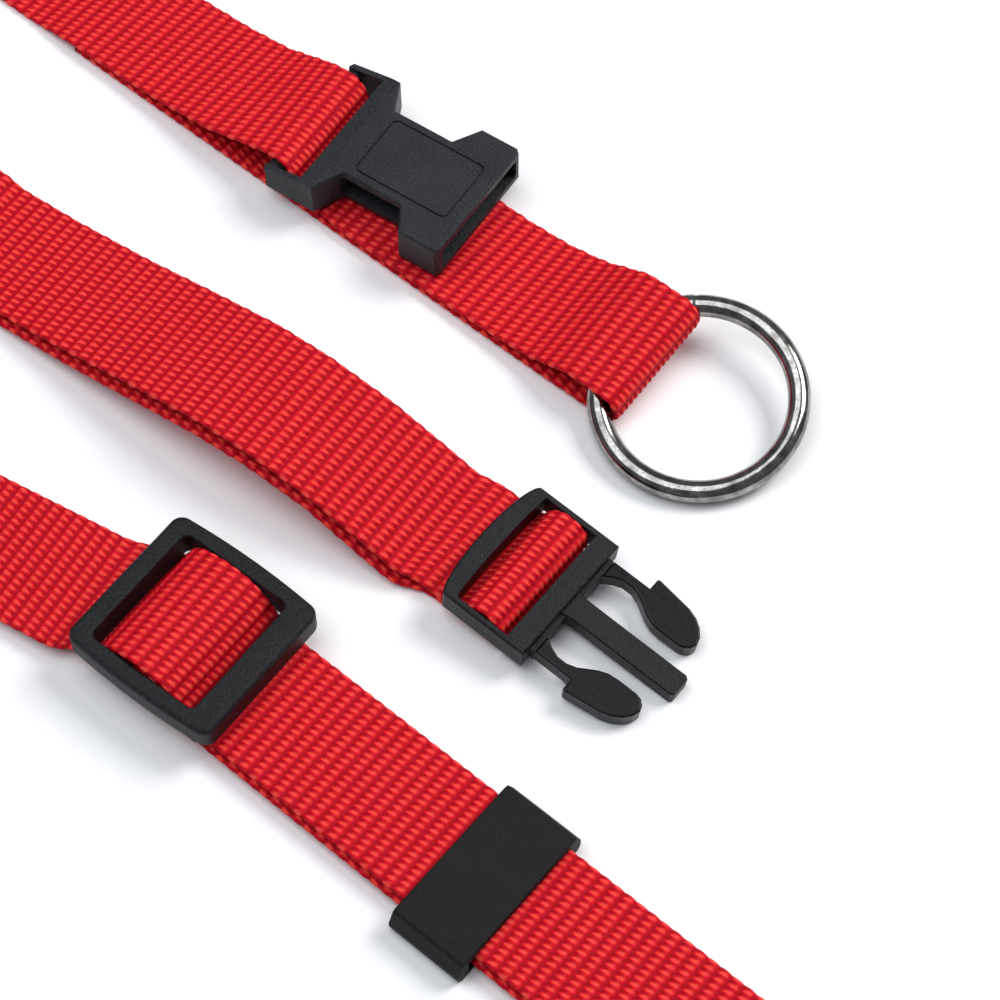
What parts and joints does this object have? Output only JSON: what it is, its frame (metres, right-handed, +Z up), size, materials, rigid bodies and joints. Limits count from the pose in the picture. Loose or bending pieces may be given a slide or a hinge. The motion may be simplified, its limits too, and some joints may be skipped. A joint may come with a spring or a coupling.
{
  "type": "adjustable webbing lanyard",
  "caption": "Red woven webbing lanyard with a steel ring sewn in one end, a side-release buckle, a three-bar slider and a keeper sleeve, laid in three runs.",
  "frame": {"origin": "middle of the underside of the box round the laid-out lanyard", "axes": "+X along the runs of strap towards the ring and tongue ends, +Y across the runs towards the ring's run, +Z up off the table"},
  "size_m": [0.2964, 0.1483, 0.0131],
  "materials": {
    "red_webbing": "coarse woven nylon webbing, crimson valleys and brighter orange-red ribs",
    "red_thread": "twisted sewing thread",
    "black_plastic": "fine-grained moulded acetal",
    "nickel_steel": "nickel-plated steel wire, polished"
  },
  "bodies": {
    "strap": {"webbing_tail_layer": "red_webbing", "webbing_ring_run": "red_webbing", "webbing_cross_ring_male": "red_webbing", "webbing_male_upper": "red_webbing", "webbing_male_lower": "red_webbing", "webbing_cross_male_loop": "red_webbing", "webbing_loop_left": "red_webbing", "webbing_loop_lower": "red_webbing", "webbing_loop_upper": "red_webbing", "ring_end_stitches": "red_thread"},
    "ring_loop": {"webbing_ring_loop": "red_webbing"},
    "ring": {"ring": "nickel_steel"},
    "female_buckle": {"female_buckle": "black_plastic"},
    "male_buckle": {"male_body": "black_plastic", "webbing_male_loop": "red_webbing"},
    "latch_arm_left": {"latch_arm_left": "black_plastic"},
    "latch_arm_right": {"latch_arm_right": "black_plastic"},
    "slider": {"slider": "black_plastic", "webbing_slider_wrap": "red_webbing"},
    "keeper": {"keeper": "black_plastic"}
  },
  "joints": [
    {"name": "ring_end_lift", "type": "hinge", "parent": "strap", "child": "ring_loop", "pos_m": [0.02107, 0.05294, 0.00668], "axis": [0, -1, 0], "range_deg": [0, 55]},
    {"name": "ring_turn", "type": "hinge", "parent": "ring_loop", "child": "ring", "pos_m": [0.05338, 0.05294, 0.00535], "axis": [0.0576, -0.1562, 0.9861], "continuous": true},
    {"name": "female_lift", "type": "hinge", "parent": "strap", "child": "female_buckle", "pos_m": [-0.04133, 0.05374, 0.0072], "axis": [0.1045, -0.9945, 0], "range_deg": [0, 60]},
    {"name": "male_lift", "type": "hinge", "parent": "strap", "child": "male_buckle", "pos_m": [0.0346, 0.00303, 0.00438], "axis": [0.014, -0.9999, 0], "range_deg": [0, 45]},
    {"name": "latch_left", "type": "hinge", "parent": "male_buckle", "child": "latch_arm_left", "pos_m": [0.06272, 0.0129, 0.00435], "axis": [-0.0976, -0.0014, -0.9952], "range_deg": [0, 9], "stiffness_Nm_per_rad": 1.5},
    {"name": "latch_right", "type": "hinge", "parent": "male_buckle", "child": "latch_arm_right", "pos_m": [0.06295, -0.0033, 0.00435], "axis": [0.0976, 0.0014, 0.9952], "range_deg": [0, 9], "stiffness_Nm_per_rad": 1.5},
    {"name": "slider_slide", "type": "slide", "parent": "strap", "child": "slider", "axis": [1, -0.0087, 0], "range_m": [0, 0.025], "deforming": ["webbing_loop_upper"]},
    {"name": "keeper_slide", "type": "slide", "parent": "strap", "child": "keeper", "axis": [1, -0.0087, 0], "range_m": [-0.016, 0.04]}
  ]
}
